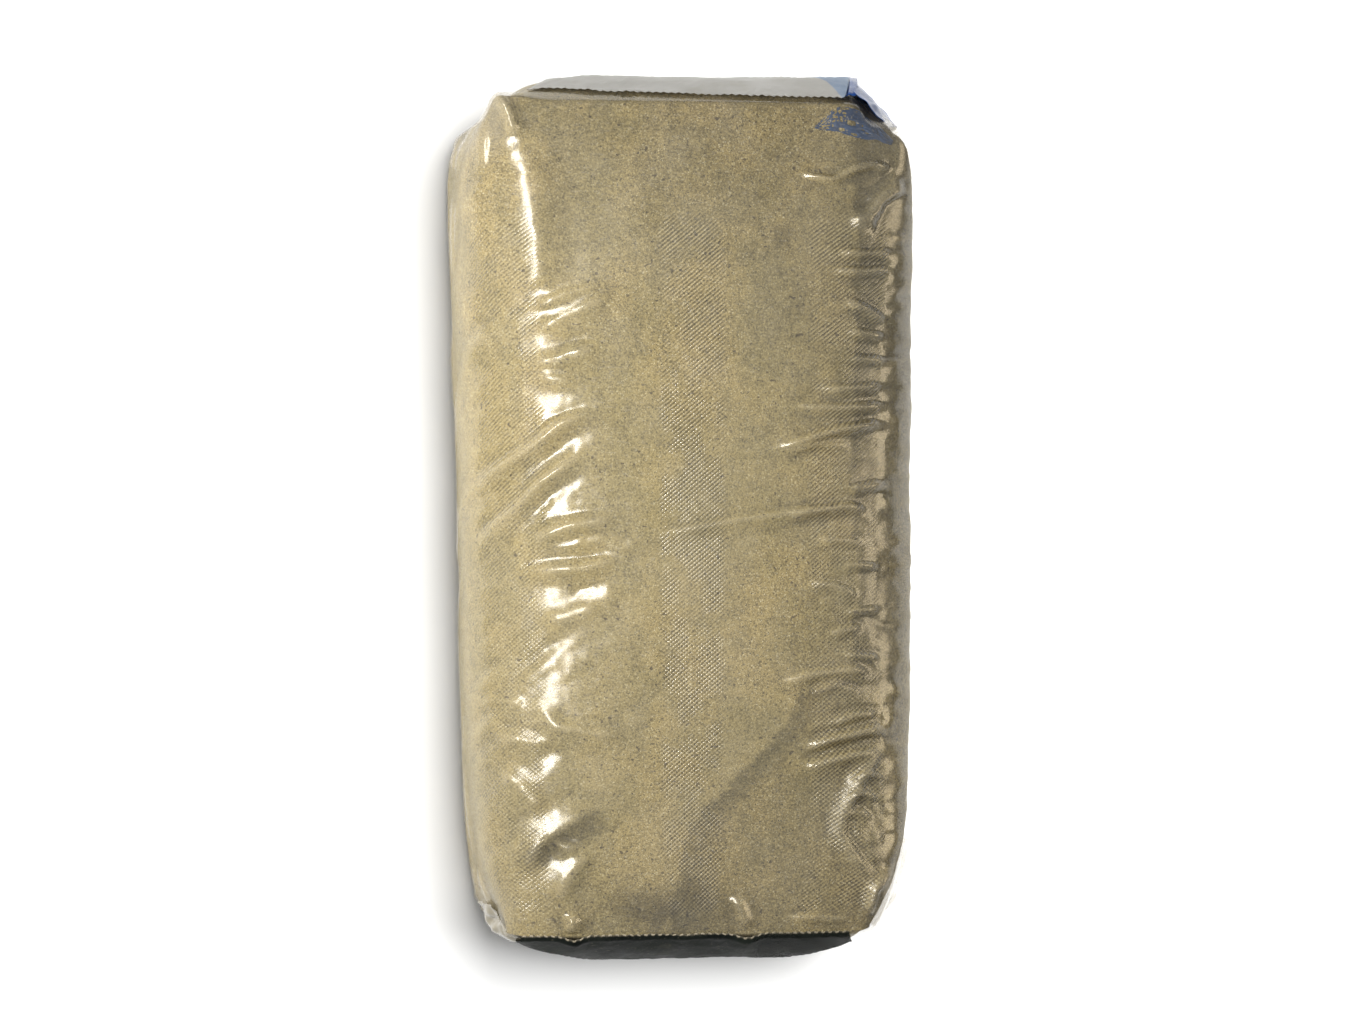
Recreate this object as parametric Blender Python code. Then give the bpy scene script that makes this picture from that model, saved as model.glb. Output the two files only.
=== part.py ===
"""Block-bottom valve sack of clear film, filled with 25 kg of quartz sand, lying on its broad back.

Metres, +Z up. The sack's length runs along Y with its valve end at +Y, its width along X and its
thickness along Z. The origin is on the floor, under the middle of the sack.

The pieces are the film sack itself, the sand in it, a cover sheet over the folded flaps of each end,
and the flat valve sleeve that the sack is filled through, which shows at one corner of the valve end.
"""

import bmesh
import bpy
import numpy as np
from mathutils import Vector
from mathutils.bvhtree import BVHTree

# Driving dimensions of the filled sack.
RIM_Y = 0.2385  # from the middle to the folded edge that frames each end
CORNER_X = 0.1115  # half the width of an end, at mid-height
BASE_SPREAD = 0.05  # how much wider an end is at the floor, and narrower at its upper edge
MIDDLE_LEFT = 0.1316
MIDDLE_RIGHT = 0.1348
TAPER = 0.0045  # the left side stands this much further out at the valve end, and less at the foot
END_HEIGHT = 0.137
MIDDLE_HEIGHT = 0.146
END_BULGE = 0.0215  # how far the sand pushes the middle of an end out past its edges
SETTLE = 0.0025  # how deep the rounded underside is pressed flat by the floor

# How fast the square ends swell into the rounded middle.
SWELL_TOP = 0.013
SWELL_FOOT = 0.034
ROUND_OFF = 0.070
EXPONENT_END = 14.0
EXPONENT_UPPER = 3.0
EXPONENT_LOWER = 5.0
BULGE_ACROSS = 8.0
BULGE_UPWARD = 2.0

# The film and the sheets. Their walls are the real gauge, and pieces that touch keep a small gap.
FILM = 0.0002
GAP = 0.0003
SAND_INSET = 0.0008
COVER_GAUGE = 0.0003
SLOT_HALF_WIDTH = 0.060  # the folded flaps of an end leave a slot between their edges
SLOT_HALF_HEIGHT = 0.0015

# The cover sheets, in the plane of an end.
COVER_TOP = (-0.085, 0.097)
COVER_FOOT = (-0.096, 0.096)
COVER_LOW = 0.009
COVER_HIGH = 0.131
TOOTH_PITCH = 0.0055
TOOTH_DEPTH = 0.0018

# The valve sleeve, a flat tube under the right end of the upper cover sheet.
SLEEVE_GAUGE = 0.00025
SLEEVE_LOW = 0.016
SLEEVE_HIGH = 0.1200
SLEEVE_INNER_LOW = 0.068
SLEEVE_INNER_HIGH = 0.094
SLEEVE_MOUTH = 0.1065
SLEEVE_LIP = 0.1130
SLEEVE_SLANT = 0.0080  # the lips stand out less at the upper edge
SLEEVE_FLAT = 0.0007  # between its two walls where the cover sheet holds it shut
SLEEVE_OPEN = 0.0026  # and at its mouth
COVER_LIFT = 0.0024  # how much the cover sheet rises over the sleeve

# How finely the surfaces are divided.
SIDE_STEPS = 7
BROAD_STEPS = 13
TUBE_RINGS = 14
CAP_RINGS = 3
COVER_ROWS = 9


def clear_scene():
    for item in list(bpy.data.objects):
        bpy.data.objects.remove(item)


def smoothstep(value):
    value = np.clip(value, 0.0, 1.0)
    return value * value * (3.0 - 2.0 * value)


def spread_steps(count):
    """Steps from -1 up to 1, closer together near both ends, where the shoulders are."""
    step = np.linspace(-1.0, 1.0, count, endpoint=False)
    return step + 0.12 * np.sin(np.pi * step)


def square_outline():
    """Points (p, q) round the unit square, anticlockwise from its lower right corner."""
    side = spread_steps(SIDE_STEPS)
    broad = spread_steps(BROAD_STEPS)
    p = np.concatenate([np.ones(SIDE_STEPS), -broad, -np.ones(SIDE_STEPS), broad])
    q = np.concatenate([side, np.ones(BROAD_STEPS), -side, -np.ones(BROAD_STEPS)])
    return p, q


def from_end(y):
    """Distance from the folded edge of the nearer end."""
    return np.maximum(RIM_Y - abs(y), 0.0)


def half_widths(y):
    """How far the sides stand out to the left and the right at this station."""
    length = SWELL_TOP if y > 0 else SWELL_FOOT
    share = 1.0 - np.exp(-from_end(y) / length)
    left = CORNER_X + (MIDDLE_LEFT - CORNER_X) * share + TAPER * share * y / RIM_Y
    right = CORNER_X + (MIDDLE_RIGHT - CORNER_X) * share
    return left, right


def section(y, p, q):
    """x and z of the sack's skin at station y, for points (p, q) of the unit square's edge.

    Each point is pulled in to the curve |p|^n + |q|^n = 1. The exponent n falls from nearly square
    at the ends to a rounded pillow in the middle, which the floor flattens underneath.
    """
    share = 1.0 - np.exp(-from_end(y) / ROUND_OFF)
    middle = np.where(q > 0, EXPONENT_UPPER, EXPONENT_LOWER)
    n = EXPONENT_END * (middle / EXPONENT_END) ** share
    pull = (np.abs(p) ** n + np.abs(q) ** n) ** (-1.0 / n)
    left, right = half_widths(y)
    spread = 1.0 - BASE_SPREAD * (1.0 - share) * q
    x = np.where(p < 0, left, right) * p * pull * spread
    height = END_HEIGHT + (MIDDLE_HEIGHT - END_HEIGHT) * share
    z = (height + SETTLE) / 2.0 * (1.0 + q * pull) - SETTLE
    return x, np.maximum(z, 0.0)


def end_bulge(x, z):
    """How far an end stands out past its folded edges, over a point of its plane."""
    middle = END_HEIGHT / 2.0
    spread = 1.0 - BASE_SPREAD * (z - middle) / middle
    across = np.clip(np.abs(x) / (CORNER_X * spread), 0.0, 1.0)
    upward = np.clip(np.abs(z - middle) / middle, 0.0, 1.0)
    return END_BULGE * (1.0 - across**BULGE_ACROSS) * (1.0 - upward**BULGE_UPWARD)


def end_rings(end):
    """Rings across one end, from just inside its folded edge to the slot in its middle."""
    p, q = square_outline()
    rim_x, rim_z = section(end * RIM_Y, p, q)
    slot_x = rim_x * SLOT_HALF_WIDTH / CORNER_X
    slot_z = END_HEIGHT / 2.0 + SLOT_HALF_HEIGHT * q
    rings = []
    for share in 1.0 - (np.arange(CAP_RINGS) + 1.0) / CAP_RINGS:
        x = slot_x + (rim_x - slot_x) * share
        z = slot_z + (rim_z - slot_z) * share
        rings.append(np.column_stack([x, end * (RIM_Y + end_bulge(x, z)), z]))
    return rings


def skin_rings():
    """All rings of the skin, from the slot of the foot, along the tube, to the slot of the top."""
    p, q = square_outline()
    stations = RIM_Y * np.sin(np.linspace(-np.pi / 2, np.pi / 2, TUBE_RINGS))
    tube = []
    for y in stations:
        x, z = section(y, p, q)
        tube.append(np.column_stack([x, np.full(len(x), y), z]))
    return end_rings(-1)[::-1] + tube + end_rings(1)


def link(name, mesh, colour, roughness, alpha=1.0):
    """A named object with a material of its own."""
    material = bpy.data.materials.new(name)
    material.use_nodes = True
    shader = material.node_tree.nodes["Principled BSDF"]
    shader.inputs["Base Color"].default_value = (*colour, 1.0)
    shader.inputs["Roughness"].default_value = roughness
    shader.inputs["Alpha"].default_value = alpha
    mesh.materials.append(material)
    mesh.shade_smooth()
    mesh.set_sharp_from_angle(angle=np.radians(40.0))
    item = bpy.data.objects.new(name, mesh)
    bpy.context.scene.collection.objects.link(item)
    return item


def lofted_mesh(name, rings, closed_ends=False):
    """A mesh with faces from each ring of points to the next."""
    form = bmesh.new()
    loops = [[form.verts.new(point) for point in ring] for ring in rings]
    for before, after in zip(loops, loops[1:]):
        for i in range(len(before)):
            j = (i + 1) % len(before)
            form.faces.new((before[i], before[j], after[j], after[i]))
    if closed_ends:
        form.faces.new(loops[0][::-1])
        form.faces.new(loops[-1])
    bmesh.ops.recalc_face_normals(form, faces=form.faces)
    mesh = bpy.data.meshes.new(name)
    form.to_mesh(mesh)
    form.free()
    return mesh


def thicken(item, gauge, offset):
    wall = item.modifiers.new("wall", "SOLIDIFY")
    wall.thickness = gauge
    wall.offset = offset


def build_film_sack():
    mesh = lofted_mesh("film_sack", skin_rings())
    corners = [vertex.co for vertex in mesh.vertices]
    skin = BVHTree.FromPolygons(corners, [face.vertices for face in mesh.polygons])
    item = link("film_sack", mesh, (0.62, 0.58, 0.46), 0.2, alpha=0.3)
    thicken(item, FILM, -1.0)
    return skin


def build_sand_fill():
    mesh = lofted_mesh("sand_fill", skin_rings(), closed_ends=True)
    form = bmesh.new()
    form.from_mesh(mesh)
    form.normal_update()
    for vertex in form.verts:
        vertex.co -= vertex.normal * SAND_INSET
    form.to_mesh(mesh)
    form.free()
    link("sand_fill", mesh, (0.42, 0.36, 0.22), 0.9)


def end_reach(skin, end, x, z):
    """How far out an end stands over (x, z), clear of the bulge and of the sack's facets."""
    facet = skin.ray_cast(Vector((x, end, z)), Vector((0.0, -end, 0.0)))[0]
    return max(abs(facet.y) if facet else RIM_Y, RIM_Y + end_bulge(x, z)) + GAP


def cover_point(skin, end, x, z):
    """A point of a cover sheet's inner side. The valve end's sheet rises over the sleeve."""
    reach = end_reach(skin, end, x, z) + GAP
    if end > 0:
        reach += COVER_LIFT * smoothstep((x - 0.045) / 0.018)
    return x, end * reach, z


def build_cover_sheet(skin, name, end, span, colour):
    """A sheet welded over an end, with pointed teeth along its two long edges."""
    teeth = round((span[1] - span[0]) / TOOTH_PITCH)
    across = np.linspace(*span, teeth + 1)
    upward = np.linspace(COVER_LOW + TOOTH_DEPTH, COVER_HIGH - TOOTH_DEPTH, COVER_ROWS + 1)
    tips = (across[:-1] + across[1:]) / 2.0
    form = bmesh.new()
    rows = [[form.verts.new(cover_point(skin, end, x, z)) for x in across] for z in upward]
    for below, above in zip(rows, rows[1:]):
        for i in range(teeth):
            form.faces.new((below[i], below[i + 1], above[i + 1], above[i]))
    for row, z in ((rows[0], COVER_LOW), (rows[-1], COVER_HIGH)):
        for i, x in enumerate(tips):
            tip = form.verts.new(cover_point(skin, end, x, z))
            form.faces.new((row[i], row[i + 1], tip))
    bmesh.ops.recalc_face_normals(form, faces=form.faces)
    mesh = bpy.data.meshes.new(name)
    form.to_mesh(mesh)
    form.free()
    item = link(name, mesh, colour, 0.4)
    outward = mesh.polygons[0].normal.y * end > 0.0
    thicken(item, COVER_GAUGE, 1.0 if outward else -1.0)


def build_valve_sleeve(skin):
    """A flat tube, shut under the cover sheet and a little open at its mouth, its lower lip longer."""
    around = 10
    share = np.linspace(0.0, 1.0, around)
    up = SLEEVE_LOW + (SLEEVE_HIGH - SLEEVE_LOW) * share
    z = np.concatenate([up, up[::-1]])
    outer_wall = np.concatenate([np.zeros(around), np.ones(around)])
    inner_x = SLEEVE_INNER_LOW + (SLEEVE_INNER_HIGH - SLEEVE_INNER_LOW) * (
        (z - SLEEVE_LOW) / (SLEEVE_HIGH - SLEEVE_LOW)
    )
    mouth_x = np.where(outer_wall > 0, SLEEVE_MOUTH, SLEEVE_LIP)
    mouth_x = mouth_x - SLEEVE_SLANT * z / END_HEIGHT
    rings = []
    for step in np.linspace(0.0, 1.0, 7) ** 0.7:
        x = inner_x + (mouth_x - inner_x) * step
        apart = SLEEVE_FLAT + (SLEEVE_OPEN - SLEEVE_FLAT) * smoothstep((x - COVER_TOP[1]) / 0.008)
        reach = np.array([end_reach(skin, 1, *point) for point in zip(x, z)])
        y = reach + GAP * (1.0 + 3.0 * step) + SLEEVE_GAUGE + apart * outer_wall
        rings.append(np.column_stack([x, y, z]))
    item = link("valve_sleeve", lofted_mesh("valve_sleeve", rings), (0.03, 0.12, 0.42), 0.3)
    thicken(item, SLEEVE_GAUGE, 0.0)


clear_scene()
skin = build_film_sack()
build_sand_fill()
build_cover_sheet(skin, "top_cover_sheet", 1, COVER_TOP, (0.62, 0.61, 0.58))
build_cover_sheet(skin, "foot_cover_sheet", -1, COVER_FOOT, (0.08, 0.09, 0.08))
build_valve_sleeve(skin)
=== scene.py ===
# %% [markdown]
# # A sack of quartz sand
#
# The object is a full sack of clear film lying on its back. Sand shows through the film, so two skins
# are modelled, one inside the other: the sand, and the film over it with its creases, gloss and
# embossed bands. The sheets over its ends, the folded corners and the blue valve sleeve come after.
#
# This first cell loads the finished solids, which give every piece its place and its size.

import time

import bpy
import numpy as np
from mathutils import Matrix, Vector


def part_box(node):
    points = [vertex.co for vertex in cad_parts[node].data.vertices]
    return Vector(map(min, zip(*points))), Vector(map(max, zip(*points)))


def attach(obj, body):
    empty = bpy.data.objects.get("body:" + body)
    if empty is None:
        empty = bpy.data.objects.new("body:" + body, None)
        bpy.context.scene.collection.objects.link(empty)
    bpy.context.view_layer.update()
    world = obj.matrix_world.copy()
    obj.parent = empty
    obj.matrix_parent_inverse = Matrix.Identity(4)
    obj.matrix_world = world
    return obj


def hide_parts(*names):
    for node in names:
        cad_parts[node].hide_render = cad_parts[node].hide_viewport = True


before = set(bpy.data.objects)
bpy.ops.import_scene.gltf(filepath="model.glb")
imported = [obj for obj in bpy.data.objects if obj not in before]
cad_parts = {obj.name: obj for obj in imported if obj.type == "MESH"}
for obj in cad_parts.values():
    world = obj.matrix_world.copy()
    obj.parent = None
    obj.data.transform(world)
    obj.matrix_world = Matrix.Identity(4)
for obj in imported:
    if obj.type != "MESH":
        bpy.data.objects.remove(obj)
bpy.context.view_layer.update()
film_low, film_high = (np.array(corner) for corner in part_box("film_sack"))
print("the film sack's box:", film_low.round(4), film_high.round(4))

# %% [markdown]
# ## The sack at rest
#
# A block-bottom sack is a flat tube of film whose ends are folded square, like a milk carton's. Filled,
# it is a box at its ends and a pillow in its middle. A superellipse does both: with a high exponent it
# is nearly a rectangle, with a low one it is rounded. Letting the exponent fall from the ends towards
# the middle gives the whole tube as one function of the station y and a point on a square's edge.

# %% The sack's dimensions
RIM_Y = 0.2385  # the folded edges that frame each end
CORNER_X = 0.1115
BASE_SPREAD = 0.05
MIDDLE_LEFT = 0.1316
MIDDLE_RIGHT = 0.1348
TAPER = 0.0045
END_HEIGHT = 0.137
MIDDLE_HEIGHT = 0.1445
END_BULGE = 0.0205
SETTLE = 0.0025
SWELL_TOP = 0.013
SWELL_FOOT = 0.034
ROUND_OFF = 0.070


def smoothstep(value):
    """0 below 0, 1 above 1, and 3t^2 - 2t^3 between them."""
    value = np.clip(value, 0.0, 1.0)
    return value * value * (3.0 - 2.0 * value)


def section(y, p, q):
    """x and z of the skin at station y, for points (p, q) of the unit square's edge.

    Each point is pulled in to the curve |p|^n + |q|^n = 1, then stretched to the half-widths and the
    height there. The underside is pressed flat by the floor.
    """
    inward = np.maximum(RIM_Y - np.abs(y), 0.0)
    share = 1.0 - np.exp(-inward / ROUND_OFF)
    n = 14.0 * (np.where(q > 0, 3.0, 5.0) / 14.0) ** share
    pull = (np.abs(p) ** n + np.abs(q) ** n) ** (-1.0 / n)
    swell = 1.0 - np.exp(-inward / np.where(y > 0, SWELL_TOP, SWELL_FOOT))
    left = CORNER_X + (MIDDLE_LEFT - CORNER_X) * swell + TAPER * swell * y / RIM_Y
    right = CORNER_X + (MIDDLE_RIGHT - CORNER_X) * swell
    x = np.where(p < 0, left, right) * p * pull * (1.0 - BASE_SPREAD * (1.0 - share) * q)
    height = END_HEIGHT + (MIDDLE_HEIGHT - END_HEIGHT) * share
    z = (height + SETTLE) / 2.0 * (1.0 + q * pull) - SETTLE
    return x, np.maximum(z, 0.0)


def end_bulge(x, z, end):
    """How far an end stands out past its rim: full in the middle, falling to nothing at the edges.

    The valve end is nearly flat from side to side, and the foot is rounder. Gentle dents keep both from
    looking turned.
    """
    middle = END_HEIGHT / 2.0
    spread = 1.0 - BASE_SPREAD * (z - middle) / middle
    across = np.clip(np.abs(x) / (CORNER_X * spread), 0.0, 1.0)
    upward = np.clip(np.abs(z - middle) / middle, 0.0, 1.0)
    power = 8.0 if end > 0 else np.where(x > 0, 7.0, 5.0)
    dents = 0.012 * np.sin(71.0 * x + 1.0) * np.cos(38.0 * z) + 0.008 * np.sin(130.0 * x - 60.0 * z)
    return END_BULGE * (1.0 - across**power) * (1.0 - upward**2) * (0.97 + dents)


# %% [markdown]
# ## A grid over the whole sack
#
# One grid covers the tube and both ends, so that a crease can run over an edge without a break. Its
# columns go round the sack from the middle of the underside. Its rows go from the middle of the foot,
# along the tube, to the middle of the top, and lie closer together than the columns, because most
# creases of a full sack run across it. Where its folded corners stick out or fall in, the smooth shape
# is pulled at listed places.

# %% The grid of resting points
SIDE_COLUMNS, BROAD_COLUMNS, UNDER_COLUMNS = (46, 96, 12)
TUBE_ROWS = 421
CAP_ROWS = 17


def column_points():
    """(p, q) of every column on the unit square's edge, from the middle of its lower side, anticlockwise."""
    under = np.linspace(0.0, 1.0, UNDER_COLUMNS, endpoint=False)
    side = np.linspace(-1.0, 1.0, SIDE_COLUMNS, endpoint=False)
    broad = np.linspace(1.0, -1.0, BROAD_COLUMNS, endpoint=False)
    p = np.concatenate([under, np.ones(SIDE_COLUMNS), broad, -np.ones(SIDE_COLUMNS), under - 1.0, [0.0]])
    q = np.concatenate(
        [-np.ones(UNDER_COLUMNS), side, np.ones(BROAD_COLUMNS), -side, -np.ones(UNDER_COLUMNS + 1)]
    )
    return p, q


def cap_rows(end, p, q):
    """Rows across one end, from next to its rim to the line in its middle where the flaps meet."""
    rim_x, rim_z = section(np.array([[end * RIM_Y]]), p, q)
    share = 1.0 - (np.arange(1, CAP_ROWS + 1) / CAP_ROWS)[:, None]
    slot_x = rim_x * 0.5
    slot_z = END_HEIGHT / 2.0 + 0.0005 * q
    x = slot_x + (rim_x - slot_x) * share
    z = slot_z + (rim_z - slot_z) * share
    return np.stack([x, end * (RIM_Y + end_bulge(x, z, end)), z], axis=-1)


def resting_grid():
    """Every grid point of the smooth, full sack, as rows by columns by three."""
    p, q = column_points()
    stations = np.linspace(-RIM_Y, RIM_Y, TUBE_ROWS)[:, None]
    x, z = section(stations, p, q)
    tube = np.stack([x, np.broadcast_to(stations, x.shape), z], axis=-1)
    return np.concatenate([cap_rows(-1, p, q)[::-1], tube, cap_rows(1, p, q)])


PULLS = (
    # x, y, z of its middle, then how far it pulls along x, y, z, and its reach
    ((-0.1050, 0.2385, 0.1320), (-0.0085, 0.0050, 0.0020), 0.014),
    ((-0.1250, 0.2290, 0.0700), (0.0060, 0.0000, 0.0000), 0.009),
    ((-0.1300, 0.2150, 0.0720), (-0.0020, 0.0010, 0.0000), 0.009),
    ((-0.1310, 0.2010, 0.0700), (0.0022, 0.0000, 0.0000), 0.010),
    ((0.1115, 0.2385, 0.1340), (-0.0080, -0.0040, -0.0010), 0.012),
    ((0.1200, 0.2140, 0.1280), (0.0030, 0.0010, 0.0020), 0.013),
    ((0.1330, 0.2070, 0.0750), (0.0024, 0.0000, 0.0000), 0.009),
    ((0.1340, 0.1880, 0.0750), (-0.0020, 0.0000, 0.0000), 0.011),
    ((-0.1010, -0.2385, 0.1320), (-0.0040, 0.0005, 0.0010), 0.012),
    ((0.1180, -0.2080, 0.1300), (-0.0030, 0.0000, 0.0010), 0.016),
)


def pulled(points):
    """Each point moved by every pull, which fades with distance as exp(-(distance / reach)^2)."""
    moved = points.copy()
    for middle, pull, reach in PULLS:
        distance = np.linalg.norm(points - np.array(middle), axis=-1)
        moved += np.exp(-((distance / reach) ** 2))[..., None] * np.array(pull)
    return moved


rest = pulled(resting_grid())
print("grid of", rest.shape[0], "rows and", rest.shape[1], "columns")

# %% [markdown]
# ## Normals and lengths on the grid
#
# Two things are measured on a grid again and again: which way the surface faces, and how long each
# step along a row or a column is. Differences of neighbouring points give both.

# %% Measures on a grid


def grid_normals(points):
    """Outward unit normals: the cross product of the steps round the sack and along it."""
    along = np.gradient(points, axis=0)
    around = np.gradient(points, axis=1)
    around[:, 0] = around[:, -1] = points[:, 1] - points[:, -2]
    normal = np.cross(around, along)
    length = np.linalg.norm(normal, axis=-1, keepdims=True)
    return -normal / np.maximum(length, 1e-12)


def step_lengths(points, rows, columns):
    """The distance from each grid point to the one so many rows and columns on. columns may be -1."""
    width = points.shape[1]
    first = points[: len(points) - rows, max(0, -columns) : width - max(0, columns)]
    second = points[rows:, max(0, columns) : width - max(0, -columns)]
    return np.linalg.norm(second - first, axis=-1)


normals = grid_normals(rest)
middle_row = rest.shape[0] // 2
top_column = rest.shape[1] // 2
girth = np.concatenate([[0.0], np.cumsum(step_lengths(rest, 0, 1)[middle_row])])
film_u = girth[top_column] - girth
run = np.concatenate([[0.0], np.cumsum(step_lengths(rest, 1, 0)[:, top_column])])
film_v = run - run[middle_row]
print("girth", round(girth[-1], 4), "m; normal of the top:", normals[middle_row, top_column].round(2))

# %% [markdown]
# ## Slack in the film
#
# Film hardly stretches, so wherever the sack's shape needs less film than there is, the spare film
# stands up in creases. Along the rounded shoulders the film is tight round the sack and slack along
# it, which is why they carry rows of short crosswise wrinkles. Each step of the grid therefore gets a
# length of its own: its length on the smooth sack, plus a share of slack chosen by region.

# %% Slack by region
CAMERA = (-0.226, 0.035, 2.07)
AIM = (0.0, 0.0, 0.07)


def bump(value, centre, width):
    """A soft hill of height 1: exp(-((value - centre) / width)^2)."""
    return np.exp(-(((value - centre) / width) ** 2))


x_rest, y_rest, z_rest = np.moveaxis(rest, -1, 0)
nearness = (CAMERA[2] - MIDDLE_HEIGHT) / (CAMERA[2] - z_rest)
above_aim = (z_rest - AIM[2]) / (CAMERA[2] - AIM[2])
x_seen, y_seen = (x_rest - CAMERA[0] * above_aim) * nearness, (y_rest - CAMERA[1] * above_aim) * nearness
facing_up = np.clip(normals[..., 2], 0.0, 1.0)
facing_side = np.abs(normals[..., 0])
shoulder = 2.0 * facing_up * facing_side
right_side = smoothstep((x_rest + 0.02) / 0.04)
away_from_ends = smoothstep((RIM_Y - np.abs(y_rest)) / 0.060)
slack_along = (
    0.0010
    + 0.0020 * away_from_ends
    + 0.022 * shoulder**1.5 * right_side * away_from_ends
    + 0.007 * shoulder**1.3 * (1.0 - right_side) * away_from_ends
    + 0.006 * facing_side**4 * smoothstep((0.09 - z_rest) / 0.06)
)
slack_around = 0.0005 + 0.004 * (1.0 - away_from_ends) * shoulder
print("slack along the shoulders up to", round(float(slack_along.max()) * 100, 2), "%")
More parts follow.
